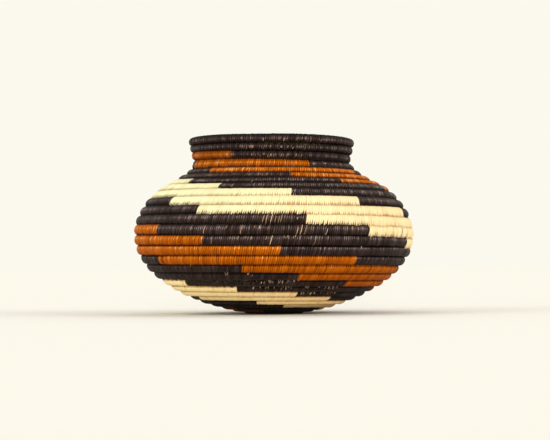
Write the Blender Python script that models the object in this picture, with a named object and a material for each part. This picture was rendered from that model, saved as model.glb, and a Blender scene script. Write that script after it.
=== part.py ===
"""A coiled basket jar, built the way its maker winds it.

One thick coil of wrapped fibre starts as a tight turn at the centre of the base, spirals out over the base,
climbs through the belly and the shoulder, turns up into a short neck and ends as a tapered tail on the rim.
Every round of that coil is its own solid, seated on the round before it along the sewn seam.
Metres, +Z up. The origin is the centre of the base, in the plane that the basket stands on.
"""

import math

import bmesh
import bpy
from mathutils import Vector
from mathutils.geometry import interpolate_bezier

# The outline over the crowns of the coil, from the centre of the base up to the rim.
BASE_RADIUS = 0.0120
BASE_SLOPE = math.radians(5.4)
BELLY_RADIUS = 0.1012
BELLY_HEIGHT = 0.0573
SHOULDER_RADIUS = 0.0766
SHOULDER_RISE = 0.0365
SHOULDER_SLOPE = math.radians(25.5)
NECK_RADIUS = 0.0570
NECK_RISE = 0.0151
RIM_RADIUS = 0.0607
RIM_RISE = 0.0175
RIM_FLARE = math.radians(14.1)
MOUTH_OFFSET = -0.0022

# How far each stretch of the outline keeps its end direction before it starts to turn.
BASE_FULLNESS = 0.0363
UNDER_BELLY_FULLNESS = 0.0346
OVER_BELLY_FULLNESS = 0.0176
OUTER_SHOULDER_FULLNESS = 0.0111
INNER_SHOULDER_FULLNESS = 0.0127
NECK_FULLNESS = 0.0029
RIM_FULLNESS = 0.0082

# The coil.
ROUNDS = 29
FINE_ROUNDS = 5
FINE_COIL_WIDTH = 0.0057
WALL_THICKNESS = 0.0064
CROWN_BULGE = 0.0013
TAIL_TURNS = 0.40
TAIL_TIP = 0.0012
SEAM_GAP = 0.0003
END_GAP = 0.0003
BASE_CUT = 0.0005
GAUGE_CHANGE_TURNS = 2.0

# The colour runs, in turns of the coil. Run 0 is the first whole rust run below the rim.
RUN_TURNS = 0.2733
FIRST_RUN_START = 25.684
HIGHEST_RUN = -4
LOWEST_RUN = 81
# Degrees by which the maker's own colour changes fall short of, or past, even steps.
RUN_SLIPS = {
    -3: 29, 0: 8, 1: 5, 4: 12, 5: -2, 8: -11, 9: 12, 11: -12, 12: -5, 15: -3, 16: -6, 19: -5, 22: -11,
    23: -3, 26: 4, 27: -1, 30: -8, 33: -6, 34: -2, 37: 3, 38: 2, 41: 5, 44: 1, 45: 5, 48: -9, 49: -5,
    52: -1, 55: -2, 56: 5, 60: 1, 63: -1, 66: 11, 67: 5, 70: -3, 71: -1, 74: 7, 78: -16,
}

# How finely the solids are made.
STATIONS = 30
SHARP_EDGE = math.radians(50)
OUTLINE_STEPS = 48
NORMAL_REACH = 0.004
CROWN_STEPS = (-1.0, -0.5, 0.0, 0.5, 1.0)
INNER_STEPS = (1.0, 0.0, -1.0)
LIP_ANGLES = 6

COLOURS = {
    "black_fibre": (0.018, 0.013, 0.012, 1.0),
    "rust_fibre": (0.376, 0.085, 0.010, 1.0),
    "natural_fibre": (0.800, 0.680, 0.420, 1.0),
}
FIBRE_NAMES = list(COLOURS)
FIBRE_ROUGHNESS = 0.55

# Each zone of the wall, with the number of its last round.
ZONES = (("base", 3), ("under_belly", 12), ("belly", 17), ("shoulder", 23), ("neck", 27), ("rim", 28))


def clear_scene():
    for obj in list(bpy.data.objects):
        bpy.data.objects.remove(obj, do_unlink=True)


class Outline:
    """The crown line as a curve that is measured by distance from the centre of the base."""

    def __init__(self):
        self.points = self.trace()
        self.along = [0.0]
        for before, after in zip(self.points, self.points[1:]):
            self.along.append(self.along[-1] + (after - before).length)
        self.length = self.along[-1]

    @staticmethod
    def trace():
        shoulder_height = BELLY_HEIGHT + SHOULDER_RISE
        neck_height = shoulder_height + NECK_RISE
        base = Vector((BASE_RADIUS, -BASE_CUT))
        belly = Vector((BELLY_RADIUS, BELLY_HEIGHT))
        shoulder = Vector((SHOULDER_RADIUS, shoulder_height))
        neck = Vector((NECK_RADIUS, neck_height))
        rim = Vector((RIM_RADIUS, neck_height + RIM_RISE))
        up = Vector((0.0, 1.0))
        outward = Vector((math.cos(BASE_SLOPE), math.sin(BASE_SLOPE)))
        inward = Vector((-math.cos(SHOULDER_SLOPE), math.sin(SHOULDER_SLOPE)))
        flare = Vector((math.sin(RIM_FLARE), math.cos(RIM_FLARE)))
        up_to_shoulder = shoulder - inward * OUTER_SHOULDER_FULLNESS
        stretches = (
            (base, base + outward * BASE_FULLNESS, belly - up * UNDER_BELLY_FULLNESS, belly),
            (belly, belly + up * OVER_BELLY_FULLNESS, up_to_shoulder, shoulder),
            (shoulder, shoulder + inward * INNER_SHOULDER_FULLNESS, neck - up * NECK_FULLNESS, neck),
            (neck, neck + up * NECK_FULLNESS, rim - flare * RIM_FULLNESS, rim),
        )
        points = [Vector((0.0, -BASE_CUT)), base]
        for stretch in stretches:
            points += interpolate_bezier(*stretch, OUTLINE_STEPS)[1:]
        return points

    def point(self, distance):
        """The radius and height there. Before the centre and past the rim the line runs on straight."""
        step = 1
        while step < len(self.along) - 1 and self.along[step] < distance:
            step += 1
        start, end = self.along[step - 1], self.along[step]
        return self.points[step - 1].lerp(self.points[step], (distance - start) / (end - start))

    def offset_point(self, distance, depth):
        """The point that lies this deep inside the wall, square to the outline."""
        run = self.point(distance + NORMAL_REACH) - self.point(distance - NORMAL_REACH)
        inside = Vector((-run.y, run.x)).normalized()
        return self.point(distance) + inside * depth


OUTLINE = Outline()
COIL_WIDTH = (OUTLINE.length - FINE_ROUNDS * FINE_COIL_WIDTH) / (ROUNDS - FINE_ROUNDS)


def seam(turn):
    """Distance along the outline of the seam under the coil, this many turns from the coil's start.

    The coil narrows to its finer gauge round the neck, and the seam passes the front of the rim
    half a turn after the last whole round."""
    change = ROUNDS + 0.5 - FINE_ROUNDS - GAUGE_CHANGE_TURNS / 2
    past = max(turn - change, 0.0)
    if past < GAUGE_CHANGE_TURNS:
        fine_turns = past * past / (2 * GAUGE_CHANGE_TURNS)
    else:
        fine_turns = past - GAUGE_CHANGE_TURNS / 2
    return COIL_WIDTH * (turn - 0.5) + (FINE_COIL_WIDTH - COIL_WIDTH) * fine_turns


def azimuth(turn):
    """The coil starts towards +Y and climbs clockwise, seen from above."""
    return math.pi / 2 - 2 * math.pi * turn


def place(turn, point):
    """A point of the outline's plane, stood at this turn of the coil. Nothing reaches below the floor."""
    height = max(point.y, 0.0)
    lean = MOUTH_OFFSET * height / (BELLY_HEIGHT + SHOULDER_RISE + NECK_RISE + RIM_RISE)
    angle = azimuth(turn)
    return Vector((point.x * math.cos(angle) + lean, point.x * math.sin(angle), height))


def barrel_side(middle, half, steps, inner):
    """One side of the coil's section, from seam to seam, swelling to its crown between them."""
    side = []
    for step in steps:
        sunk = CROWN_BULGE * step * step
        depth = WALL_THICKNESS - sunk if inner else sunk
        side.append(OUTLINE.offset_point(middle + half * step, depth))
    return side


def seated_section(turn):
    """The coil's section where another round is sewn on top of it."""
    low = seam(turn) + SEAM_GAP / 2
    high = seam(turn + 1) - SEAM_GAP / 2
    middle, half = (low + high) / 2, (high - low) / 2
    return barrel_side(middle, half, CROWN_STEPS, False) + barrel_side(middle, half, INNER_STEPS, True)


def lip_section(turn):
    """The section of the last round, rounded over on top. Its tail sinks to a thin tip."""
    low = seam(turn) + SEAM_GAP / 2
    full = seam(turn + 1) - seam(turn) - SEAM_GAP
    left = min((ROUNDS - turn) / TAIL_TURNS, 1.0)
    width = TAIL_TIP + (full - TAIL_TIP) * left
    middle, half = low + width / 2, width / 2
    rise = math.pi / LIP_ANGLES
    over_top = [
        OUTLINE.offset_point(
            middle + half * math.sin(step * rise),
            WALL_THICKNESS / 2 * (1 - math.cos(step * rise)),
        )
        for step in range(LIP_ANGLES + 1)
    ]
    outer_foot = barrel_side(middle, half, CROWN_STEPS[:2], False)
    inner_foot = barrel_side(middle, half, INNER_STEPS[2:], True)
    return outer_foot + over_top + inner_foot


def station_turns(number):
    """Where one round has its sections. Its ends stop short of the rounds that run on from them."""
    inner_radius = OUTLINE.point(seam(number)).x
    short = END_GAP / 2 / (2 * math.pi * inner_radius)
    inside = [number + step / STATIONS for step in range(1, STATIONS)]
    return [number + short] + inside + [number + 1 - short]


def run_start(run):
    """The turn of the coil at which a colour run starts, counting down from the rim."""
    return FIRST_RUN_START - RUN_TURNS * run + RUN_SLIPS.get(run, 0) / 360


def fibre_at(turn):
    """Which fibre wraps the coil there: black, rust, black and natural follow each other down the coil."""
    run = HIGHEST_RUN
    if turn > run_start(run):
        return FIBRE_NAMES.index("black_fibre")
    while run < LOWEST_RUN and run_start(run + 1) >= turn:
        run += 1
    if run == LOWEST_RUN:
        return FIBRE_NAMES.index("black_fibre")
    return FIBRE_NAMES.index(("rust_fibre", "black_fibre", "natural_fibre", "black_fibre")[run % 4])


def fibre_material(name):
    material = bpy.data.materials.new(name)
    material.use_nodes = True
    material.diffuse_color = COLOURS[name]
    shader = material.node_tree.nodes["Principled BSDF"]
    shader.inputs["Base Color"].default_value = COLOURS[name]
    shader.inputs["Roughness"].default_value = FIBRE_ROUGHNESS
    shader.inputs["Metallic"].default_value = 0.0
    return material


def finish_object(name, mesh_data, materials, collection):
    """Turns the faces outwards, shades them smooth over the crowns, and puts the object in its collection."""
    bmesh.ops.recalc_face_normals(mesh_data, faces=mesh_data.faces)
    mesh = bpy.data.meshes.new(name)
    mesh_data.to_mesh(mesh)
    mesh_data.free()
    for material in materials:
        mesh.materials.append(material)
    mesh.shade_smooth()
    mesh.set_sharp_from_angle(angle=SHARP_EDGE)
    collection.objects.link(bpy.data.objects.new(name, mesh))


def skin(mesh_data, before, after, fibre, closed):
    """Faces between two neighbouring sections."""
    count = len(before)
    for i in range(count if closed else count - 1):
        j = (i + 1) % count
        face = mesh_data.faces.new((before[i], before[j], after[j], after[i]))
        face.material_index = fibre


def build_round(name, number, materials, collection):
    """One round of the coil, lofted through its sections and closed at both ends."""
    shape = lip_section if number == ROUNDS - 1 else seated_section
    turns = station_turns(number)
    mesh_data = bmesh.new()
    rings = [[mesh_data.verts.new(place(turn, point)) for point in shape(turn)] for turn in turns]
    for before, after, start, end in zip(rings, rings[1:], turns, turns[1:]):
        skin(mesh_data, before, after, fibre_at((start + end) / 2), True)
    for ring, turn in ((rings[0], turns[0]), (rings[-1], turns[-1])):
        mesh_data.faces.new(ring).material_index = fibre_at(turn)
    finish_object(name, mesh_data, materials, collection)


def build_start(name, materials, collection):
    """The tight first turn: a button whose edge is the seam that the next round is sewn to."""
    end_short = END_GAP / 2 / (2 * math.pi * OUTLINE.point(seam(1)).x)
    turns = [step / STATIONS for step in range(STATIONS)] + [1 - end_short]
    mesh_data = bmesh.new()
    floor_centre = mesh_data.verts.new(place(0.0, OUTLINE.offset_point(0.0, 0.0)))
    inner_centre = mesh_data.verts.new(place(0.0, OUTLINE.offset_point(0.0, WALL_THICKNESS)))
    rings = []
    for turn in turns:
        edge = seam(turn + 1) - SEAM_GAP / 2
        round_over = COIL_WIDTH / 4
        points = (
            OUTLINE.offset_point(edge - round_over, CROWN_BULGE / 4),
            OUTLINE.offset_point(edge, CROWN_BULGE),
            OUTLINE.offset_point(edge, WALL_THICKNESS - CROWN_BULGE),
            OUTLINE.offset_point(edge - round_over, WALL_THICKNESS - CROWN_BULGE / 4),
        )
        rings.append([mesh_data.verts.new(place(turn, point)) for point in points])
    for before, after in zip(rings, rings[1:] + rings[:1]):
        skin(mesh_data, before, after, fibre_at(0.0), False)
        mesh_data.faces.new((floor_centre, before[0], after[0]))
        mesh_data.faces.new((inner_centre, after[-1], before[-1]))
    finish_object(name, mesh_data, materials, collection)


def round_name(number):
    zone = next(name for name, last in ZONES if number <= last)
    return f"{zone}_round_{number:02d}"


def build():
    clear_scene()
    collection = bpy.data.collections.new("coiled_basket")
    bpy.context.scene.collection.children.link(collection)
    materials = [fibre_material(name) for name in FIBRE_NAMES]
    build_start("coil_start", materials, collection)
    for number in range(1, ROUNDS):
        build_round(round_name(number), number, materials, collection)


build()
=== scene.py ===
"""The looks of the coiled basket jar: each stitch, the bundle under them, the studio and the camera.

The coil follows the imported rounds. Each stitch is a flat strand of fibre, wrapped once round the coil, that
bites into the round below. So the stepped bands, the grooves between the rounds and the toothed seams all
come from the strands themselves. Metres, +Z up, in the frame of the CAD model.
"""

import copy
import math

import bpy
import numpy as np
from mathutils import Matrix, Vector


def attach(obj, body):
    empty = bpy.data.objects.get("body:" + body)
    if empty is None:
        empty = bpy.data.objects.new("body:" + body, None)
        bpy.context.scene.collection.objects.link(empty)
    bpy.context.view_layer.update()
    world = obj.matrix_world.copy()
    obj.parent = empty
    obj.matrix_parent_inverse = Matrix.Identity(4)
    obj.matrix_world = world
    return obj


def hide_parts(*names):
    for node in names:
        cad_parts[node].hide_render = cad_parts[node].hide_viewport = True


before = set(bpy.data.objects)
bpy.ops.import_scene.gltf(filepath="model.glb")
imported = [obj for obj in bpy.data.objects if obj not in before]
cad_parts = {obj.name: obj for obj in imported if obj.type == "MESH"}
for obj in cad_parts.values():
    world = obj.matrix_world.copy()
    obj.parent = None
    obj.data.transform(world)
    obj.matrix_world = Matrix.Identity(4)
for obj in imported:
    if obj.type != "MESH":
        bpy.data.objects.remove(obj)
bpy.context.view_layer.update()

# The outline over the coil's crowns, from the centre of the base up to the rim, as the CAD model has it.
BASE_RADIUS = 0.0120
BASE_SLOPE = math.radians(5.4)
BELLY_RADIUS = 0.1012
BELLY_HEIGHT = 0.0573
SHOULDER_RADIUS = 0.0766
SHOULDER_RISE = 0.0365
SHOULDER_SLOPE = math.radians(25.5)
NECK_RADIUS = 0.0570
NECK_RISE = 0.0151
RIM_RADIUS = 0.0607
RIM_RISE = 0.0175
RIM_FLARE = math.radians(14.1)
MOUTH_OFFSET = -0.0022
BASE_CUT = 0.0005

# How far each stretch of the outline keeps its end direction before it starts to turn.
BASE_FULLNESS = 0.0363
UNDER_BELLY_FULLNESS = 0.0346
OVER_BELLY_FULLNESS = 0.0176
OUTER_SHOULDER_FULLNESS = 0.0111
INNER_SHOULDER_FULLNESS = 0.0127
NECK_FULLNESS = 0.0029
RIM_FULLNESS = 0.0082

# The outline's points for each stretch, how far it runs on past both ends, and how far to either side of a
# place its direction is measured.
OUTLINE_STEPS = 64
RUN_ON = 0.02
NORMAL_REACH = 0.004

# The coil. The tail is the end on the rim that thins out, to this width and this share of the depth. Each
# zone is given with its last round.
ROUNDS = 29
FINE_ROUNDS = 5
FINE_COIL_WIDTH = 0.0057
WALL_THICKNESS = 0.0064
GAUGE_CHANGE_TURNS = 2.0
TAIL_TURNS = 0.40
TAIL_TIP = 0.0012
TAIL_DEPTH = 0.35
FIRST_NECK_ROUND = 24
ZONES = (("base", 3), ("under_belly", 12), ("belly", 17), ("shoulder", 23), ("neck", 27), ("rim", 28))

# How full the coil's section is: 2 is an ellipse, and more is nearer a box, as on the underside.
SQUARENESS = 2.1
LOW_SQUARENESS = 2.2
ROUND_COILS_FROM = 17
FLAT_COILS_TO = 9

# The colour runs, in turns of the coil. Run 0 is the first whole rust run below the rim.
RUN_TURNS = 0.2733
FIRST_RUN_START = 25.684
HIGHEST_RUN = -4
LOWEST_RUN = 81
RUN_FIBRES = ("rust_fibre", "black_fibre", "natural_fibre", "black_fibre")
# Degrees by which the maker's own colour changes fall short of, or past, even steps.
RUN_SLIPS = {
    -3: 29, 0: 8, 1: 5, 4: 12, 5: -2, 8: -11, 9: 12, 11: -12, 12: -5, 15: -3, 16: -6, 19: -5, 22: -11,
    23: -3, 26: 4, 27: -1, 30: -8, 33: -6, 34: -2, 37: 3, 38: 2, 41: 5, 44: 1, 45: 5, 48: -9, 49: -5,
    52: -1, 55: -2, 56: 5, 60: 1, 63: -1, 66: 11, 67: 5, 70: -3, 71: -1, 74: 7, 78: -16,
}

# The stitches. A strand is as wide as the pitch times the strand fill, and an undyed one is wider by the
# natural fill. It slants on its way up the coil. The first ones leave this room at the centre of the base,
# and the coil flattens over this height at the floor.
STITCH_PITCH = 0.00155
STRAND_FILL = 1.10
NATURAL_FILL = 1.14
STRAND_CROWN = 0.00023
STRAND_UNDERSIDE = 0.8
STITCH_SLANT = 0.0020
NECK_SLANT = 0.0010
SLANT_CHANGE_TURNS = 2
FIRST_STITCH_TURN = 0.42
ROOM_AT_CENTRE = 0.00005
FLOOR_GIVE = 0.0004

# How far a stitch reaches past the coil's own edge, down into the round below and up. In this many rounds
# from the centre, the low ones, the natural stitches have a bite and a groove of their own.
LOWER_BITE = 0.0004
NATURAL_BITE = 0.0001
NATURAL_ON_NATURAL_BITE = 0.0011
LOW_NATURAL_BITE = 0.0002
UPPER_WRAP = 0.0001
LOW_ROUNDS = 14

# A strand is drawn tight over the corner between two coils: it clears the corner by half this fill, and goes
# this deep there at most.
GROOVE_FILL = 0.0004
GROOVE_DEPTH = 0.0024
NATURAL_GROOVE_DEPTH = 0.0005
LOW_NATURAL_GROOVE_DEPTH = 0.0012

# The strand's lower end narrows over this length to a tip, in shares of its width, and the tip lies this far
# out from the round below.
TAPER_LENGTH = 0.0029
NATURAL_TAPER_LENGTH = 0.0032
TAPER_CURVE = 0.8
TIP_WIDTH = 0.24
NATURAL_TIP_WIDTH = 0.34
TIP_WIDTH_LIMITS = (0.1, 0.5)
TIP_LIE = 0.00018
NATURAL_TIP_LIE = 0.00036

# How unevenly a hand makes them, as standard deviations, or as the most to either side for pitch and taper.
PITCH_SPREAD = 0.09
TAPER_SPREAD = 0.22
WIDTH_SPREAD = 0.07
TIP_WIDTH_SPREAD = 0.07
LIFT_SPREAD = 0.00005
TILT_SPREAD = 0.11
SLANT_SPREAD = 0.00016
BITE_SPREAD = 0.00022
NATURAL_BITE_SPREAD = 0.00030
WAVER = 0.00016
SWELL = 0.00012
WAVES_PER_TURN = 7

# Thin slivers of undyed fibre that show between the black stitches. Each comes up from under its neighbours
# and dips under them again. Long ones cross the coil. Short ones cross only its upper part and are narrower
# by this factor. The groups give stretches of the coil, in turns from its start, and how many lie close
# together there. By this share of the black stitches, from the first turn given, lies a stray one.
SLIVER_WIDTH = 0.00050
SLIVER_WIDTH_SPREAD = 0.00012
SHORT_SLIVER_NARROWER = 0.68
SLIVER_LIFT = 0.00019
SLIVER_LIFT_SPREAD = 0.00007
SLIVER_DIP = 0.0005
SLIVER_DIP_CURVE = 6
SLIVER_END_WIDTH = 0.5
SLIVER_TAPER_CURVE = 4
SLIVER_SLANT = 0.0007
STRAY_SHARE = 0.012
FIRST_SLIVER_TURN = 6.0
LONG_SLIVERS = (
    (17.491, 17.517, 7), (16.577, 16.579, 1), (16.530, 16.560, 2), (16.464, 16.477, 4), (16.439, 16.441, 1),
    (15.568, 15.570, 1), (15.502, 15.504, 1), (15.451, 15.455, 2),
)
SHORT_SLIVERS = (
    (28.40, 28.56, 12), (27.42, 27.56, 26), (26.44, 26.54, 24), (25.38, 25.42, 4), (16.500, 16.560, 5),
    (15.47, 15.54, 12), (11.53, 11.57, 6), (10.465, 10.54, 18), (9.40, 9.54, 36), (8.39, 8.53, 36),
    (7.445, 7.461, 4),
)
# Where on the coil's section each kind lies, in degrees above its crown, and how far it reaches either way.
LONG_MIDDLE = 0
LONG_REACH = 62
SHORT_MIDDLE = 22
HIGHEST_SHORT_MIDDLE = 50
NECK_SHORT_MIDDLE = -4
SHORT_REACH = 19
SLIVER_REACH_SPREAD = 0.18
SLIVER_MIDDLE_SPREAD = 10

# The strand's section: across in half widths, and up in crown heights.
SECTION = np.array(
    [(-1.0, 0.0), (-0.62, 0.72), (0.0, 1.0), (0.62, 0.72), (1.0, 0.0), (0.0, -STRAND_UNDERSIDE)]
)
# How many sections a strand has on the outside of the coil and on its inside, and the bundle in each turn.
OUTER_STATIONS = 15
INNER_STATIONS = 9
SLIVER_STATIONS = 9
SLIVER_BACK_STATIONS = 4
BUNDLE_STATIONS = 72
BUNDLE_SIDES = 20
# How far the bundle lies under the stitches.
BUNDLE_SUNK = 0.00036
# The cosine that counts as none, where the coil's outside and inside meet.
EDGE_COSINE = 0.01

# In the map for baking, each strand has a cell this much longer than wide, with this margin.
CELL_SHAPE = 3
CELL_MARGIN = 0.08

RANDOM_SEED = 20

# A streak is about 0.2 mm wide and 5 mm long, a flake of painted highlight 0.6 mm by 0.9 mm. The third number
# tells strands apart, as does the shuffle, which gives each strand a painted highlight that has nothing to do
# with its tone.
STREAKS = (1 / 0.00022, 1 / 0.005, 90.0)
GLINT_FLAKES = (1 / 0.0006, 1 / 0.0009, 130.0)
GLINT_SHUFFLE = 57.0
DYE_PATCH = 0.014
NOISE_ROUGHNESS = 0.6
# The middle of a noise's values, which is spread over the whole range.
NOISE_MIDDLE = (0.3, 0.7)
FLAKE_MIDDLE = (0.35, 0.65)
# How far above the coil's crown the painted highlight is brightest, as a sine, and how far it and the lit
# crest, a broader painted highlight, reach either way. Where the wall faces upwards, the highlight moves down
# the coil by this share of the angle, and on the underside it moves up by the whole angle. It is lower on the
# neck.
HIGHLIGHT_SLOPE = 0.28
NECK_HIGHLIGHT_SLOPE = -0.10
HIGHLIGHT_REACH = 0.50
LIT_CREST_REACH = 1.05
HIGHLIGHT_FOLLOWS = 0.5
# The least and the most of the painted highlight by flake, by strand and by dye, and where it starts and is
# full across a strand, in half widths.
FLAKE_GLINT = (0.40, 1.25)
STRAND_GLINT = (0.50, 1.20)
DYE_GLINT = (0.75, 1.35)
GLINT_CROWN = (0.85, 0.15)
# Where the painted shade at a strand's edges, in the gaps between strands, starts and is full, across it in
# half widths.
EDGE_SHADE = (0.45, 0.95)
# Where the painted shade of a seam, in the groove between coils, starts and is full on the two sides of a
# coil, as a sine above its crown, and how much wider it shows under a coil on the shoulder and over a coil on
# the underside.
LOWER_SEAM_SHADE = (-0.64, -0.86)
UPPER_SEAM_SHADE = (0.78, 0.97)
SEAM_SHADE_GROWS = 0.35
# The neck is painted darker, between two heights and above them, and so is the foot, as painted shade.
NECK_DARKENS = (0.1070, 0.1115)
NECK_SHADE = (0.70, 0.68, 0.68)
FOOT_DARKENS = (0.0080, 0.0050)
FOOT_SHADE = (0.42, 0.38, 0.36)
STREAK_BUMP = 0.35
STREAK_DEPTH = 0.00004

# Undyed fibre is painted lighter to one side of the jar, as painted light, and is browner to the other, by
# position. Low down it is painted lighter and warmer, as painted bounce light, and its low seams are painted
# darker, as painted shade.
LIT_SIDE = (-0.040, -0.075)
LIT_SIDE_TINT = (1.10, 1.12, 1.16)
BROWN_SIDE = (-0.03, 0.07)
BROWN_SIDE_TINT = (1.10, 0.92, 0.85)
LOW_FIBRE = (0.045, 0.020)
LOW_BOUNCE_LIGHT_TINT = (1.22, 1.05, 0.90)
LOW_SEAM_SHADE_TINT = (0.70, 0.55, 0.42)
# The bundle's fibres are about 0.4 mm wide and 20 mm long. Under undyed stitches they are this much lighter.
BUNDLE_STREAKS = (1 / 0.0004, 1 / 0.0004, 1 / 0.02)
PALE_BUNDLE = 0.5

# The camera: the photograph's width and the lens's focal length, both in photograph pixels, how many pixels
# below the picture's middle the camera's own level lies, its roll in radians, and where it stands.
PHOTO_WIDTH = 550
FOCAL_LENGTH = 2121
LEVEL_BELOW_MIDDLE = 45.7
CAMERA_ROLL = -0.0078
CAMERA_PLACE = (0.0, -1.541, 0.0347)
SENSOR_WIDTH = 36.0
VIEW_END = 20.0

# The studio.
BACKDROP_COLOUR = (0.965, 0.947, 0.855)
FLOOR_COLOUR = (0.92, 0.918, 0.850)
FLOOR_HALF = 40.0
PAPER_TOOTH = 0.002
PAPER_LIGHTER = 1.005
STUDIO_LIGHT = 0.83
STUDIO_COLOUR = (1.0, 0.955, 0.90)
LAMP_COLOUR = (1.0, 1.0, 0.975)
LAMP_DISTANCE = 2.0
# The lamps: degrees to the right of the camera, degrees up, strength, and degrees across.
LAMPS = ((-62, 22, 0.74, 40), (0, 7, 0.88, 12), (62, 22, 0.92, 40))


def bezier(a, b, c, d):
    """Points of a curve from a to d that leaves a towards b and comes to d from c."""
    t = np.linspace(0, 1, OUTLINE_STEPS)[:, None]
    return (1 - t) ** 3 * a + 3 * t * (1 - t) ** 2 * b + 3 * t * t * (1 - t) * c + t**3 * d


class Outline:
    """The crown line, by distance from the centre of the base. It runs on straight past both ends."""

    def __init__(self):
        shoulder_height = BELLY_HEIGHT + SHOULDER_RISE
        neck_height = shoulder_height + NECK_RISE
        self.height = neck_height + RIM_RISE
        base = np.array((BASE_RADIUS, -BASE_CUT))
        belly = np.array((BELLY_RADIUS, BELLY_HEIGHT))
        shoulder = np.array((SHOULDER_RADIUS, shoulder_height))
        neck = np.array((NECK_RADIUS, neck_height))
        rim = np.array((RIM_RADIUS, self.height))
        up = np.array((0.0, 1.0))
        outward = np.array((math.cos(BASE_SLOPE), math.sin(BASE_SLOPE)))
        inward = np.array((-math.cos(SHOULDER_SLOPE), math.sin(SHOULDER_SLOPE)))
        flare = np.array((math.sin(RIM_FLARE), math.cos(RIM_FLARE)))
        past_centre = np.array((-RUN_ON, -BASE_CUT))
        past_rim = rim + flare * RUN_ON
        up_to_shoulder = shoulder - inward * OUTER_SHOULDER_FULLNESS
        stretches = [
            bezier(base, base + outward * BASE_FULLNESS, belly - up * UNDER_BELLY_FULLNESS, belly),
            bezier(belly, belly + up * OVER_BELLY_FULLNESS, up_to_shoulder, shoulder),
            bezier(shoulder, shoulder + inward * INNER_SHOULDER_FULLNESS, neck - up * NECK_FULLNESS, neck),
            bezier(neck, neck + up * NECK_FULLNESS, rim - flare * RIM_FULLNESS, rim),
        ]
        self.points = np.vstack([past_centre, base] + [s[1:] for s in stretches] + [past_rim])
        steps = np.linalg.norm(np.diff(self.points, axis=0), axis=1)
        self.along = np.append(0.0, np.cumsum(steps)) - RUN_ON
        self.length = self.along[-2]

    def point(self, distance):
        return np.stack([np.interp(distance, self.along, self.points[:, i]) for i in (0, 1)], -1)

    def run(self, distance):
        """From a little before this distance to a little after it."""
        return self.point(distance + NORMAL_REACH) - self.point(distance - NORMAL_REACH)

    def facing(self, distance):
        """How far the outside faces upwards there, as an angle."""
        run = self.run(distance)
        return np.arctan2(-run[..., 0], run[..., 1])

    def offset_point(self, distance, depth):
        """The points that lie this deep inside the wall, square to the outline."""
        run = self.run(distance)
        run /= np.linalg.norm(run, axis=-1, keepdims=True)
        inside = np.stack([-run[..., 1], run[..., 0]], -1)
        return self.point(distance) + inside * np.asarray(depth)[..., None]


OUTLINE = Outline()
COIL_WIDTH = (OUTLINE.length - FINE_ROUNDS * FINE_COIL_WIDTH) / (ROUNDS - FINE_ROUNDS)


def seam(turn):
    """Distance along the outline of the seam under the coil, this many turns from the coil's start."""
    change = ROUNDS + 0.5 - FINE_ROUNDS - GAUGE_CHANGE_TURNS / 2
    past = np.maximum(turn - change, 0.0)
    easing = past * past / (2 * GAUGE_CHANGE_TURNS)
    fine_turns = np.where(past < GAUGE_CHANGE_TURNS, easing, past - GAUGE_CHANGE_TURNS / 2)
    return COIL_WIDTH * (turn - 0.5) + (FINE_COIL_WIDTH - COIL_WIDTH) * fine_turns


def left_of_tail(turn):
    """1 along the coil, falling to 0 at the tip of its tail on the rim."""
    return np.clip((ROUNDS - turn) / TAIL_TURNS, 0.0, 1.0)


def coil_place(turn):
    """Distance along the outline of the coil's middle there, and half its width."""
    full = seam(turn + 1) - seam(turn)
    width = TAIL_TIP + (full - TAIL_TIP) * left_of_tail(turn)
    return seam(turn) + width / 2, width / 2


def coil_depth(turn):
    """Half the coil's thickness through the wall."""
    return WALL_THICKNESS / 2 * (TAIL_DEPTH + (1 - TAIL_DEPTH) * left_of_tail(turn))


def to_centre(middle, half):
    """How far past the coil's own edge the first round reaches, to close the centre of the base."""
    return np.maximum(middle - ROOM_AT_CENTRE, ROOM_AT_CENTRE) - half


def crown_radius(turn):
    """The jar's radius over the coil's crown there."""
    return OUTLINE.point(coil_place(turn)[0])[..., 0]


def on_the_floor(height):
    """Flattens what would reach below the floor, and keeps the order of what lies over what."""
    give = FLOOR_GIVE
    return np.where(height > give, height, give * np.exp(np.minimum((height - give) / give, 0.0)))


def place(turn, point):
    """Points of the outline's plane, stood at these turns of the coil."""
    height = on_the_floor(point[..., 1])
    angle = math.pi / 2 - 2 * math.pi * turn
    x = point[..., 0] * np.cos(angle) + MOUTH_OFFSET * height / OUTLINE.height
    return np.stack([x, point[..., 0] * np.sin(angle), height], -1)


def squareness(turn):
    """How full the coil's section is there."""
    low = np.clip((ROUND_COILS_FROM - turn) / (ROUND_COILS_FROM - FLAT_COILS_TO), 0, 1)
    return SQUARENESS + (LOW_SQUARENESS - SQUARENESS) * low


def rounded(value, fullness):
    """Sine or cosine, made fuller so that the coil's section is between an ellipse and a box."""
    return np.sign(value) * np.abs(value) ** (2 / fullness)


def section(half, depth, angle, lift, bite, fullness):
    """How far along the outline from the coil's middle, and how deep under the crown line, its section lies.

    Angle 0 is the outer crown and 90 degrees the top.
    """
    reach = np.where(np.sin(angle) > 0, half + UPPER_WRAP, half + bite)
    along = (reach + lift) * rounded(np.sin(angle), fullness)
    inside = WALL_THICKNESS / 2 - (depth + lift) * rounded(np.cos(angle), fullness)
    return along, inside


def crown_depth(half, height, fullness):
    """Depth of a coil's outer surface at this height over its middle."""
    share = np.clip(height / (half + UPPER_WRAP), -1, 1)
    side = (1 - np.abs(share) ** fullness) ** (1 / fullness)
    return WALL_THICKNESS / 2 * (1 - side)


def bridged(one, other):
    """The lesser of two depths, as a strand has it that is drawn tight over the corner between them."""
    nearer = np.minimum(one, other)
    apart = np.clip(1 - np.abs(one - other) / (2 * GROOVE_FILL), 0, 1)
    return nearer - GROOVE_FILL / 2 * apart**2


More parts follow.
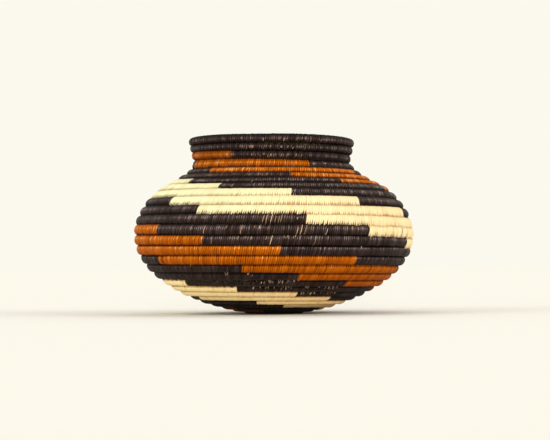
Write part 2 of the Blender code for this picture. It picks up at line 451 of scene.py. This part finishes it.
class Waver:
    """A smooth random curve along the coil, the same each run."""

    def __init__(self, random, size):
        spare = 4
        self.values = random.normal(0, size, ROUNDS * WAVES_PER_TURN + spare)

    def __call__(self, turn):
        at = np.asarray(turn) * WAVES_PER_TURN
        low = np.floor(at).astype(int)
        part = at - low
        ease = part * part * (3 - 2 * part)
        return self.values[low] * (1 - ease) + self.values[low + 1] * ease


def run_start(run):
    """The turn of the coil at which a colour run starts, counting down from the rim."""
    return FIRST_RUN_START - RUN_TURNS * run + RUN_SLIPS.get(run, 0) / 360


def fibres_at(turns):
    """The fibre of each stitch: rust, black, natural and black follow each other down the coil."""
    fibres = np.full(len(turns), "black_fibre", dtype=object)
    for run in range(HIGHEST_RUN, LOWEST_RUN):
        inside = (turns <= run_start(run)) & (turns > run_start(run + 1))
        fibres[inside] = RUN_FIBRES[run % len(RUN_FIBRES)]
    return fibres


def round_name(number):
    """The CAD node of this round."""
    if number == 0:
        return "coil_start"
    zone = next(name for name, last in ZONES if number <= last)
    return f"{zone}_round_{number:02d}"


def stitch_turns(random):
    """Where along the coil each stitch is."""
    turns = []
    turn = FIRST_STITCH_TURN
    while turn < ROUNDS:
        turns.append(turn)
        radius = max(float(crown_radius(turn)), COIL_WIDTH / 2)
        turn += STITCH_PITCH * (1 + PITCH_SPREAD * random.uniform(-1, 1)) / (2 * math.pi * radius)
    return np.array(turns)


def sliver_turns(random, stitches):
    """Where the slivers are, long ones first: in groups, and here and there by other black stitches."""
    groups = [random.uniform(start, end, number) for start, end, number in LONG_SLIVERS + SHORT_SLIVERS]
    black = stitches.turn[(stitches.fibre == "black_fibre") & (stitches.turn > FIRST_SLIVER_TURN)]
    strays = random.choice(black, int(len(black) * STRAY_SHARE), replace=False)
    return np.concatenate(groups + [strays + STITCH_PITCH / 2 / (2 * math.pi * crown_radius(strays))])


class Stitches:
    """Strands wrapped round the coil at these turns, and how each differs from the next."""

    def __init__(self, random, turns, width, width_spread):
        self.turn = turns
        count = len(turns)
        self.fibre = fibres_at(self.turn)
        natural = self.fibre == "natural_fibre"
        fill = np.where(natural, NATURAL_FILL, 1)
        self.width = width * (1 + width_spread * random.normal(size=count)) * fill
        self.lift = LIFT_SPREAD * random.normal(size=count)
        upright = np.clip((self.turn - FIRST_NECK_ROUND + 1) / SLANT_CHANGE_TURNS, 0, 1)
        self.slant = STITCH_SLANT + (NECK_SLANT - STITCH_SLANT) * upright
        self.slant = self.slant + SLANT_SPREAD * random.normal(size=count)
        self.tilt = TILT_SPREAD * random.normal(size=count)
        bite_spread = np.where(natural, NATURAL_BITE_SPREAD, BITE_SPREAD)
        over_natural = fibres_at(self.turn - 1) == "natural_fibre"
        low = self.turn < LOW_ROUNDS
        natural_bite = np.where(over_natural, NATURAL_ON_NATURAL_BITE, NATURAL_BITE)
        natural_bite = np.where(low, LOW_NATURAL_BITE, natural_bite)
        self.bite = np.where(natural, natural_bite, LOWER_BITE) + bite_spread * random.normal(size=count)
        self.tip = np.where(natural, NATURAL_TIP_WIDTH, TIP_WIDTH)
        self.tip = np.clip(self.tip + TIP_WIDTH_SPREAD * random.normal(size=count), *TIP_WIDTH_LIMITS)
        self.taper = np.where(natural, NATURAL_TAPER_LENGTH, TAPER_LENGTH)
        self.taper = self.taper * (1 + TAPER_SPREAD * random.uniform(-1, 1, count))
        self.lie = np.where(natural, NATURAL_TIP_LIE, TIP_LIE)
        natural_groove = np.where(low, LOW_NATURAL_GROOVE_DEPTH, NATURAL_GROOVE_DEPTH)
        self.groove = np.where(natural, natural_groove, GROOVE_DEPTH)
        self.tone = random.uniform(size=count)
        self.middle, self.half = coil_place(self.turn)
        self.radius = np.maximum(crown_radius(self.turn), COIL_WIDTH / 2)
        self.facing = OUTLINE.facing(self.middle)
        # The coil of the round below, which the lower ends of the stitches lie on.
        self.below, self.half_below = coil_place(np.maximum(self.turn - 1, 0))
        self.has_round_below = self.turn > FIRST_STITCH_TURN + 1

    def follow(self, waver, swell):
        """Takes the coil's own unevenness."""
        self.middle = self.middle + waver(self.turn)
        self.lift = self.lift + swell(self.turn)

    def picked(self, chosen):
        """These strands alone, their values shaped to go with (strand, station, section point)."""
        some = copy.copy(self)
        for name, values in vars(self).items():
            setattr(some, name, values[chosen][:, None, None])
        return some


def make_slivers(random, stitches):
    """The slivers among these stitches, as strands that are narrower, further out and more slanted."""
    width_spread = SLIVER_WIDTH_SPREAD / SLIVER_WIDTH
    slivers = Stitches(random, sliver_turns(random, stitches), SLIVER_WIDTH, width_spread)
    slivers.lift = slivers.lift + SLIVER_LIFT + SLIVER_LIFT_SPREAD * random.normal(size=len(slivers.turn))
    slivers.slant = slivers.slant + SLIVER_SLANT
    return slivers


def stations():
    """Angles round the coil's section, closer together on the outside."""
    outer = np.linspace(-math.pi / 2, math.pi / 2, OUTER_STATIONS, endpoint=False)
    inner = np.linspace(math.pi / 2, 3 * math.pi / 2, INNER_STATIONS, endpoint=False)
    return np.append(outer, inner)


def strand_points(strands, angles, sunk, narrowed):
    """The picked strands' vertices, as (strand, station, section point, xyz), and how far across each lies.

    The angles are those of the stations, for each strand or for all. Each station may be sunk or narrowed.
    """
    turn, middle, half = strands.turn, strands.middle, strands.half
    angle = angles[:, :, None]
    lift = strands.lift - sunk[None, :, None]
    bite = np.where(turn < FIRST_STITCH_TURN + 1, to_centre(middle, half), strands.bite)
    fullness = squareness(turn)
    along, inside = section(half, coil_depth(turn), angle, lift, bite, fullness)
    # The lower end narrows to a tip, which lies on the round below before it goes in.
    to_tip = np.clip((along + half + bite) / strands.taper, 0, 1)
    taper = strands.tip + (1 - strands.tip) * to_tip**TAPER_CURVE
    width = strands.width * narrowed[None, :, None] * taper
    own_coil = crown_depth(half, along, fullness)
    lower_coil = crown_depth(strands.half_below, middle + along - strands.below, fullness)
    lies_over = bridged(own_coil - lift, lower_coil - strands.lie)
    lies_over = bridged(lies_over, strands.groove - lift)
    on_coil = strands.has_round_below & (along < -half / 2) & (np.cos(angle) > -EDGE_COSINE)
    inside = np.where(on_coil, lies_over, inside)
    across = width / 2 * SECTION[None, None, :, 0]
    rise = SECTION[None, None, :, 1] * STRAND_CROWN * np.sqrt(width / strands.width)
    rise = rise + across * strands.tilt * (np.cos(angle) > EDGE_COSINE)
    # The strand's thickness stands out from the coil on every side of it.
    along = along + rise * np.sin(angle)
    inside = inside - rise * np.cos(angle)
    points = OUTLINE.offset_point(middle + along, inside)
    shift = (across - strands.slant / 2 * np.sin(angle)) / (2 * math.pi * strands.radius)
    return place(turn + shift, points), across


def grid(*sizes):
    """Whole-number coordinates of every place in a block of these sizes."""
    return np.meshgrid(*[np.arange(size) for size in sizes], indexing="ij")


def ribbon_faces(count, along, around):
    """Quads over closed strands, each a ring of sections."""
    strand, station, side = grid(count, along, around)
    next_station, next_side = (station + 1) % along, (side + 1) % around

    def vertex(station, side):
        return (strand * along + station) * around + side

    corners = [
        vertex(station, side),
        vertex(station, next_side),
        vertex(next_station, next_side),
        vertex(next_station, side),
    ]
    return np.stack(corners, -1).reshape(-1, 4)


def bake_map(count, along, around):
    """A map for baking: each strand has a cell of its own, unrolled along its length."""
    rows = max(1, round(math.sqrt(count / CELL_SHAPE)))
    strand, station, side = grid(count, along, around)
    row = strand * rows // count
    first = -(-row * count // rows)
    in_row = -(-(row + 1) * count // rows) - first
    corners = []
    for step_along, step_around in ((0, 0), (0, 1), (1, 1), (1, 0)):
        u = CELL_MARGIN + (1 - 2 * CELL_MARGIN) * (side + step_around) / around
        v = CELL_MARGIN / 2 + (1 - CELL_MARGIN) * (station + step_along) / along
        corners.append(np.stack([(strand - first + u) / in_row, (row + v) / rows], -1))
    return np.stack(corners, 3).reshape(-1, 2)


def make_mesh(name, points, faces, material, attributes, uv=None):
    """A smooth mesh object of vertices and quads, with vector attributes for its material."""
    mesh = bpy.data.meshes.new(name)
    mesh.vertices.add(len(points))
    mesh.vertices.foreach_set("co", points.astype(np.float32).ravel())
    mesh.loops.add(faces.size)
    mesh.loops.foreach_set("vertex_index", faces.astype(np.int32).ravel())
    mesh.polygons.add(len(faces))
    mesh.polygons.foreach_set("loop_start", np.arange(0, faces.size, 4, dtype=np.int32))
    mesh.polygons.foreach_set("use_smooth", np.ones(len(faces), bool))
    for title, values in attributes.items():
        layer = mesh.attributes.new(title, "FLOAT_VECTOR", "POINT")
        layer.data.foreach_set("vector", values.astype(np.float32).ravel())
    if uv is not None:
        layer = mesh.uv_layers.new(name="OFBake")
        layer.data.foreach_set("uv", uv.astype(np.float32).ravel())
    mesh.materials.append(material)
    mesh.update(calc_edges=True)
    mesh.validate()
    made = bpy.data.objects.new(name, mesh)
    bpy.context.scene.collection.objects.link(made)
    return made


def build_strands(name, strands, material, angles, sunk, narrowed):
    """One piece of the picked strands. Its material reads where a point is on its strand and on its coil.

    The strand attribute holds how far across and how far along the strand it is, and the strand's tone. The
    lie attribute holds its height on the coil, how near the strand's edge it is, and how far it faces up.
    """
    points, across = strand_points(strands, angles, sunk, narrowed)
    size = points.shape[:3]

    def attribute(*parts):
        return np.stack([np.broadcast_to(part, size) for part in parts], -1).reshape(-1, 3)

    section_radius = (COIL_WIDTH + WALL_THICKNESS) / 4
    length = (angles - angles[:, :1]) * section_radius
    # How far a point faces up places the painted highlight, and its height, grown by the facing, the painted
    # seam shade.
    follows = np.where(strands.facing > 0, HIGHLIGHT_FOLLOWS, 1)
    upward = np.sin(angles[:, :, None] + follows * strands.facing)
    height = np.sin(angles)[:, :, None]
    height = height * (1 + SEAM_SHADE_GROWS * np.maximum(-np.sign(height) * np.sin(strands.facing), 0))
    attributes = {
        "strand": attribute(across, length[:, :, None], strands.tone),
        "lie": attribute(height, np.abs(across) / (strands.width / 2), upward),
    }
    return make_mesh(name, points.reshape(-1, 3), ribbon_faces(*size), material, attributes, bake_map(*size))


def build_stitches(stitches, materials):
    """One piece for each fibre of each round."""
    angles = stations()[None, :]
    flush, full = np.zeros(angles.size), np.ones(angles.size)
    for number in range(ROUNDS):
        in_round = (stitches.turn >= number) & (stitches.turn < number + 1)
        for fibre, material in materials.items():
            chosen = np.flatnonzero(in_round & (stitches.fibre == fibre))
            if len(chosen) > 0:
                name = f"stitches_{round_name(number)}_{fibre}"
                piece = build_strands(name, stitches.picked(chosen), material, angles, flush, full)
                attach(piece, "root")
                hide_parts(round_name(number))


def build_slivers(random, slivers, material):
    """Thin pale strands that have worked out between the black stitches and dip back under them."""
    count = len(slivers.turn)
    long = np.arange(count) < sum(number for start, end, number in LONG_SLIVERS)
    short_middle = np.minimum(SHORT_MIDDLE - np.degrees(slivers.facing), HIGHEST_SHORT_MIDDLE)
    short_middle = np.where(slivers.turn > FIRST_NECK_ROUND, NECK_SHORT_MIDDLE, short_middle)
    middle = np.where(long, LONG_MIDDLE, short_middle) + SLIVER_MIDDLE_SPREAD * random.normal(size=count)
    reach = np.where(long, LONG_REACH, SHORT_REACH) * (1 + SLIVER_REACH_SPREAD * random.normal(size=count))
    slivers.width = slivers.width * np.where(long, 1.0, SHORT_SLIVER_NARROWER)
    # Along the outside, and back under the stitches.
    out = np.linspace(-1, 1, SLIVER_STATIONS)
    back = np.linspace(1, -1, SLIVER_BACK_STATIONS + 2)[1:-1]
    sunk = np.append(SLIVER_DIP * out**SLIVER_DIP_CURVE, np.full(len(back), SLIVER_DIP))
    narrowed = 1 - (1 - SLIVER_END_WIDTH) * out**SLIVER_TAPER_CURVE
    narrowed = np.append(narrowed, np.full(len(back), SLIVER_END_WIDTH))
    chosen = np.flatnonzero(slivers.fibre == "black_fibre")
    angles = np.radians(middle[chosen, None] + reach[chosen, None] * np.append(out, back)[None, :])
    piece = build_strands("pale_slivers", slivers.picked(chosen), material, angles, sunk, narrowed)
    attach(piece, "root")
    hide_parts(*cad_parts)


def bundle_points(turns, angles):
    """The bundle's vertices, as (station, side, xyz)."""
    middle, half = coil_place(turns)
    # Each round of the bundle just meets the next, under the stitches. The first one closes the centre, and
    # the last one lies lower, because nothing covers its upper side but its own stitches.
    bite = np.where(turns < FIRST_STITCH_TURN + 1, to_centre(middle, half), UPPER_WRAP)
    lower = np.where(turns < ROUNDS - 1, 0, 2 * BUNDLE_SUNK)
    half = (half + BUNDLE_SUNK - lower)[:, None]
    depth = coil_depth(turns)[:, None]
    bite = (bite + lower)[:, None]
    along, inside = section(half, depth, angles[None, :], -BUNDLE_SUNK, bite, squareness(turns)[:, None])
    points = OUTLINE.offset_point(middle[:, None] + along, inside)
    return place(np.broadcast_to(turns[:, None], points.shape[:2]), points)


def bundle_faces(station_count):
    """Quads over one open-ended tube."""
    station, side = grid(station_count - 1, BUNDLE_SIDES)
    next_side = (side + 1) % BUNDLE_SIDES
    corners = [
        station * BUNDLE_SIDES + side,
        (station + 1) * BUNDLE_SIDES + side,
        (station + 1) * BUNDLE_SIDES + next_side,
        station * BUNDLE_SIDES + next_side,
    ]
    return np.stack(corners, -1).reshape(-1, 4)


def build_bundle(material):
    """The foundation: one unbroken bundle of fibre, wound from the centre of the base to the tail."""
    turns = np.linspace(FIRST_STITCH_TURN, ROUNDS, int((ROUNDS - FIRST_STITCH_TURN) * BUNDLE_STATIONS))
    angles = np.linspace(0, 2 * math.pi, BUNDLE_SIDES, endpoint=False)
    points = bundle_points(turns, angles)
    length = 2 * math.pi * np.append(0.0, np.cumsum(crown_radius(turns[1:]) * np.diff(turns)))
    parts = (
        np.cos(angles)[None, :] * WALL_THICKNESS / 2,
        np.sin(angles)[None, :] * WALL_THICKNESS / 2,
        length[:, None],
    )
    strand = np.stack([np.broadcast_to(part, points.shape[:2]) for part in parts], -1)
    # Paler where undyed stitches lie on undyed ones, above the low rounds; elsewhere dark, as painted shade.
    pale = (fibres_at(turns) == "natural_fibre") & (fibres_at(turns - 1) == "natural_fibre")
    pale = np.repeat(pale & (turns > LOW_ROUNDS), BUNDLE_SIDES).astype(float)
    attributes = {"strand": strand.reshape(-1, 3), "pale": np.repeat(pale[:, None], 3, axis=1)}
    faces = bundle_faces(len(turns))
    piece = make_mesh("foundation_bundle", points.reshape(-1, 3), faces, material, attributes)
    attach(piece, "root")
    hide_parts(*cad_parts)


class Nodes:
    """A short way to write a material's node tree."""

    def __init__(self, name):
        self.material = bpy.data.materials.new(name)
        self.material.use_nodes = True
        self.tree = self.material.node_tree
        self.shader = self.tree.nodes["Principled BSDF"]

    def add(self, kind, values=None, **settings):
        node = self.tree.nodes.new(kind)
        for key, value in settings.items():
            setattr(node, key, value)
        for socket, value in (values or {}).items():
            if isinstance(value, bpy.types.NodeSocket):
                self.tree.links.new(value, node.inputs[socket])
            else:
                node.inputs[socket].default_value = value
        return node

    def link(self, output, socket):
        self.tree.links.new(output, self.shader.inputs[socket])

    def constant(self, socket, value):
        self.shader.inputs[socket].default_value = value

    def attribute(self, name, output="Vector"):
        return self.add("ShaderNodeAttribute", attribute_name=name).outputs[output]

    def position(self):
        return self.add("ShaderNodeTexCoord").outputs["Object"]

    def split(self, vector):
        return self.add("ShaderNodeSeparateXYZ", {0: vector}).outputs

    def math(self, operation, a, b=0.0):
        return self.add("ShaderNodeMath", {0: a, 1: b}, operation=operation).outputs[0]

    def scaled(self, vector, scale):
        values = {0: vector, 1: scale}
        return self.add("ShaderNodeVectorMath", values, operation="MULTIPLY").outputs["Vector"]

    def noise(self, vector, scale=1.0, detail=2.0):
        values = {"Vector": vector, "Scale": scale, "Detail": detail, "Roughness": NOISE_ROUGHNESS}
        return self.add("ShaderNodeTexNoise", values).outputs["Fac"]

    def range(self, value, low, high, to_low=0.0, to_high=1.0):
        values = {"Value": value, "From Min": low, "From Max": high, "To Min": to_low, "To Max": to_high}
        return self.add("ShaderNodeMapRange", values).outputs["Result"]

    def ramp(self, value, stops):
        node = self.add("ShaderNodeValToRGB", {"Fac": value})
        elements = node.color_ramp.elements
        there_already = len(elements)
        for number, (at, colour) in enumerate(stops):
            element = elements[number] if number < there_already else elements.new(at)
            element.position = at
            element.color = (*colour, 1.0)
        return node.outputs["Color"]

    def tinted(self, colour, tint, share):
        """Multiplies a colour by this tint where the share is 1."""
        values = {0: share, 6: colour, 7: (*tint, 1.0)}
        return self.add("ShaderNodeMix", values, data_type="RGBA", blend_type="MULTIPLY").outputs[2]


def strand_parts(nodes, position):
    """What goes into a strand's colour, each part from 0 to about 1."""
    strand, lie = nodes.attribute("strand"), nodes.attribute("lie")
    streaks = nodes.range(nodes.noise(nodes.scaled(strand, STREAKS), detail=3.0), *NOISE_MIDDLE)
    glint_flakes = nodes.range(nodes.noise(nodes.scaled(strand, GLINT_FLAKES)), *FLAKE_MIDDLE, *FLAKE_GLINT)
    dye = nodes.range(nodes.noise(position, scale=1 / DYE_PATCH), *NOISE_MIDDLE)
    tone = nodes.split(strand)["Z"]
    height, across, upward = nodes.split(lie)
    # The glint is painted highlight, brightest where the strand faces up at the given slope and on its crown.
    strand_glint = nodes.math("FRACT", nodes.math("MULTIPLY", tone, GLINT_SHUFFLE))
    brightest_glint = nodes.range(nodes.split(position)["Z"], *NECK_DARKENS, HIGHLIGHT_SLOPE, NECK_HIGHLIGHT_SLOPE)
    from_glint = nodes.math("ABSOLUTE", nodes.math("SUBTRACT", upward, brightest_glint))
    glint = nodes.range(from_glint, HIGHLIGHT_REACH, 0.0)
    shares = (
        nodes.range(across, *GLINT_CROWN),
        nodes.range(strand_glint, 0.0, 1.0, *STRAND_GLINT),
        glint_flakes,
        nodes.range(dye, 0.0, 1.0, *DYE_GLINT),
    )
    for share in shares:
        glint = nodes.math("MULTIPLY", glint, share)
    return {
        # The lit crest and the glint are painted highlight; the edge and seam parts are painted shade.
        "streaks": streaks,
        "tone": tone,
        "dye": dye,
        "lit_crest": nodes.range(from_glint, LIT_CREST_REACH, 0.0),
        "glint": glint,
        "edge": nodes.range(across, *EDGE_SHADE),
        "seam": nodes.math("MAXIMUM", nodes.range(height, *LOWER_SEAM_SHADE), nodes.range(height, *UPPER_SEAM_SHADE)),
    }


def strand_material(name, stops, weights, roughness, specular, specular_tint=(1.0, 1.0, 1.0), shaded=None):
    """Split plant fibre: fine streaks along each strand, a tone for each strand, slow changes of the dye, a
    lit crest on each coil with glints on the crowns of its strands as painted highlight, and painted shade at
    the strands' edges and in the seams.

    The weights say how far each part moves the colour along the stops.
    """
    nodes = Nodes(name)
    position = nodes.position()
    parts = strand_parts(nodes, position)
    mixed = 0.0
    for part, weight in weights.items():
        mixed = nodes.math("ADD", mixed, nodes.math("MULTIPLY", parts[part], weight))
    colour = nodes.ramp(mixed, stops)
    height = nodes.split(position)["Z"]
    # Painted shade: the neck and the foot are made darker.
    colour = nodes.tinted(colour, NECK_SHADE, nodes.range(height, *NECK_DARKENS))
    colour = nodes.tinted(colour, FOOT_SHADE, nodes.range(height, *FOOT_DARKENS))
    if shaded:
        colour = shaded(nodes, colour, position, parts["seam"])
    nodes.link(colour, "Base Color")
    nodes.link(nodes.range(parts["streaks"], 0.0, 1.0, *roughness), "Roughness")
    bump = {"Height": parts["streaks"], "Strength": STREAK_BUMP, "Distance": STREAK_DEPTH}
    nodes.link(nodes.add("ShaderNodeBump", bump).outputs["Normal"], "Normal")
    nodes.constant("Specular IOR Level", specular)
    nodes.constant("Specular Tint", (*specular_tint, 1.0))
    return nodes.material


def black_material():
    # The last stop is the painted highlight's colour; the edge and seam weights pull towards the first, as
    # painted shade.
    stops = [
        (0.0, (0.001, 0.0004, 0.0003)),
        (0.30, (0.016, 0.0075, 0.0053)),
        (0.66, (0.059, 0.036, 0.031)),
        (1.0, (0.29, 0.23, 0.22)),
    ]
    weights = dict(streaks=0.36, tone=0.28, dye=0.08, lit_crest=0.10, glint=0.47, edge=-0.22, seam=-0.60)
    sheen = {"roughness": (0.42, 0.60), "specular": 0.10, "specular_tint": (0.95, 0.84, 0.88)}
    return strand_material("black_strands", stops, weights, **sheen)


def rust_material():
    # The last stop is the painted highlight's colour; the edge and seam weights pull towards the first, as
    # painted shade.
    stops = [
        (0.0, (0.08, 0.012, 0.001)),
        (0.38, (0.35, 0.073, 0.001)),
        (0.75, (0.57, 0.142, 0.003)),
        (1.0, (0.92, 0.50, 0.20)),
    ]
    weights = dict(streaks=0.42, tone=0.30, dye=0.12, lit_crest=0.18, glint=0.30, edge=-0.24, seam=-0.50)
    sheen = {"roughness": (0.42, 0.65), "specular": 0.05, "specular_tint": (1.0, 0.62, 0.32)}
    return strand_material("rust_strands", stops, weights, **sheen)


def natural_shades(nodes, colour, position, seam_shade):
    """Undyed fibre: browner to one side, painted light to the other and low down, painted shade in low seams.
    """
    x, y, z = nodes.split(position)
    colour = nodes.tinted(colour, BROWN_SIDE_TINT, nodes.range(x, *BROWN_SIDE))
    colour = nodes.tinted(colour, LIT_SIDE_TINT, nodes.range(x, *LIT_SIDE))
    low = nodes.range(z, *LOW_FIBRE)
    colour = nodes.tinted(colour, LOW_BOUNCE_LIGHT_TINT, low)
    return nodes.tinted(colour, LOW_SEAM_SHADE_TINT, nodes.math("MULTIPLY", seam_shade, low))


def natural_material():
    stops = [
        (0.0, (0.56, 0.35, 0.14)),
        (0.22, (0.77, 0.70, 0.40)),
        (0.7, (0.83, 0.81, 0.49)),
        (1.0, (0.88, 0.87, 0.62)),
    ]
    weights = dict(streaks=0.24, tone=0.24, dye=0.18, lit_crest=0.08, glint=0.18, edge=-0.10, seam=-0.18)
    sheen = {"roughness": (0.4, 0.65), "specular": 0.15}
    return strand_material("natural_strands", stops, weights, shaded=natural_shades, **sheen)


def sliver_material():
    """Thin split fibre, from brown to pale straw."""
    stops = [
        (0.0, (0.22, 0.13, 0.07)),
        (0.5, (0.54, 0.34, 0.20)),
        (1.0, (0.95, 0.71, 0.48)),
    ]
    weights = dict(streaks=0.20, tone=0.75, dye=0.05, glint=0.05, edge=-0.10, seam=-0.20)
    sheen = {"roughness": (0.4, 0.65), "specular": 0.15}
    return strand_material("sliver_strands", stops, weights, **sheen)


def bundle_material():
    """The foundation: long fibres along the coil, dark as painted shade in the gaps, paler under undyed
    stitches.
    """
    nodes = Nodes("bundle")
    streaks = nodes.noise(nodes.scaled(nodes.attribute("strand"), BUNDLE_STREAKS), detail=3.0)
    pale = nodes.math("MULTIPLY", nodes.attribute("pale", "Fac"), PALE_BUNDLE)
    stops = [
        (0.3, (0.015, 0.009, 0.005)),
        (0.5, (0.035, 0.021, 0.011)),
        (0.7, (0.12, 0.075, 0.036)),
        (1.0, (0.85, 0.66, 0.36)),
    ]
    nodes.link(nodes.ramp(nodes.math("ADD", streaks, pale), stops), "Base Color")
    nodes.constant("Roughness", 0.7)
    nodes.constant("Specular IOR Level", 0.2)
    return nodes.material


def paper_material():
    """The floor: plain pale paper with a faint tooth."""
    nodes = Nodes("floor_paper")
    grain = nodes.noise(nodes.position(), scale=1 / PAPER_TOOTH, detail=3.0)
    lighter = [part * PAPER_LIGHTER for part in FLOOR_COLOUR]
    stops = [(0.3, FLOOR_COLOUR), (0.7, lighter)]
    nodes.link(nodes.ramp(grain, stops), "Base Color")
    nodes.constant("Roughness", 0.95)
    nodes.constant("Specular IOR Level", 0.0)
    return nodes.material


def build_camera():
    """The photograph's view, from a little above the table and with a long lens."""
    data = bpy.data.cameras.new("camera")
    data.sensor_width = SENSOR_WIDTH
    data.lens = FOCAL_LENGTH / PHOTO_WIDTH * SENSOR_WIDTH
    data.clip_end = VIEW_END
    camera = bpy.data.objects.new("camera", data)
    bpy.context.scene.collection.objects.link(camera)
    pitch = math.atan(LEVEL_BELOW_MIDDLE / FOCAL_LENGTH)
    turn = Matrix.Rotation(math.pi / 2 + pitch, 4, "X") @ Matrix.Rotation(CAMERA_ROLL, 4, "Z")
    camera.matrix_world = Matrix.Translation(CAMERA_PLACE) @ turn
    bpy.context.scene.camera = camera


def build_stage():
    mesh = bpy.data.meshes.new("floor")
    corners = [(x * FLOOR_HALF, y * FLOOR_HALF, 0) for x, y in ((-1, -1), (1, -1), (1, 1), (-1, 1))]
    mesh.from_pydata(corners, [], [(0, 1, 2, 3)])
    mesh.materials.append(paper_material())
    floor = bpy.data.objects.new("floor", mesh)
    bpy.context.scene.collection.objects.link(floor)


def build_world():
    """Even studio light, with a pale backdrop for the camera and for reflections."""
    world = bpy.data.worlds.new("studio")
    world.use_nodes = True
    bpy.context.scene.world = world
    nodes, links = world.node_tree.nodes, world.node_tree.links
    light = nodes["Background"]
    light.inputs["Color"].default_value = (*STUDIO_COLOUR, 1.0)
    light.inputs["Strength"].default_value = STUDIO_LIGHT
    backdrop = nodes.new("ShaderNodeBackground")
    backdrop.inputs["Color"].default_value = (*BACKDROP_COLOUR, 1.0)
    path = nodes.new("ShaderNodeLightPath")
    seen = path.outputs["Is Camera Ray"]
    for kind in ("Is Glossy Ray", "Is Transmission Ray"):
        either = nodes.new("ShaderNodeMath")
        either.operation = "MAXIMUM"
        links.new(seen, either.inputs[0])
        links.new(path.outputs[kind], either.inputs[1])
        seen = either.outputs[0]
    mix = nodes.new("ShaderNodeMixShader")
    links.new(seen, mix.inputs["Fac"])
    links.new(light.outputs[0], mix.inputs[1])
    links.new(backdrop.outputs[0], mix.inputs[2])
    links.new(mix.outputs[0], nodes["World Output"].inputs["Surface"])


def build_lamps():
    """A broad soft lamp to each side, and a low one in front."""
    for number, (side, up, strength, spread) in enumerate(LAMPS):
        data = bpy.data.lights.new(f"lamp_{number}", "SUN")
        data.energy = strength
        data.angle = math.radians(spread)
        data.color = LAMP_COLOUR
        lamp = bpy.data.objects.new(f"lamp_{number}", data)
        side, up = math.radians(side), math.radians(up)
        way = Vector((math.sin(side) * math.cos(up), -math.cos(side) * math.cos(up), math.sin(up)))
        lamp.location = way * LAMP_DISTANCE
        lamp.rotation_euler = way.to_track_quat("Z", "Y").to_euler()
        bpy.context.scene.collection.objects.link(lamp)


def build():
    random = np.random.default_rng(RANDOM_SEED)
    fibres = {
        "black_fibre": black_material(),
        "rust_fibre": rust_material(),
        "natural_fibre": natural_material(),
    }
    waver, swell = Waver(random, WAVER), Waver(random, SWELL)
    stitches = Stitches(random, stitch_turns(random), STITCH_PITCH * STRAND_FILL, WIDTH_SPREAD)
    stitches.follow(waver, swell)
    build_stitches(stitches, fibres)
    slivers = make_slivers(random, stitches)
    slivers.follow(waver, swell)
    build_slivers(random, slivers, sliver_material())
    build_bundle(bundle_material())
    build_camera()
    build_stage()
    build_world()
    build_lamps()


build()
bpy.context.scene.view_settings.view_transform = "Standard"
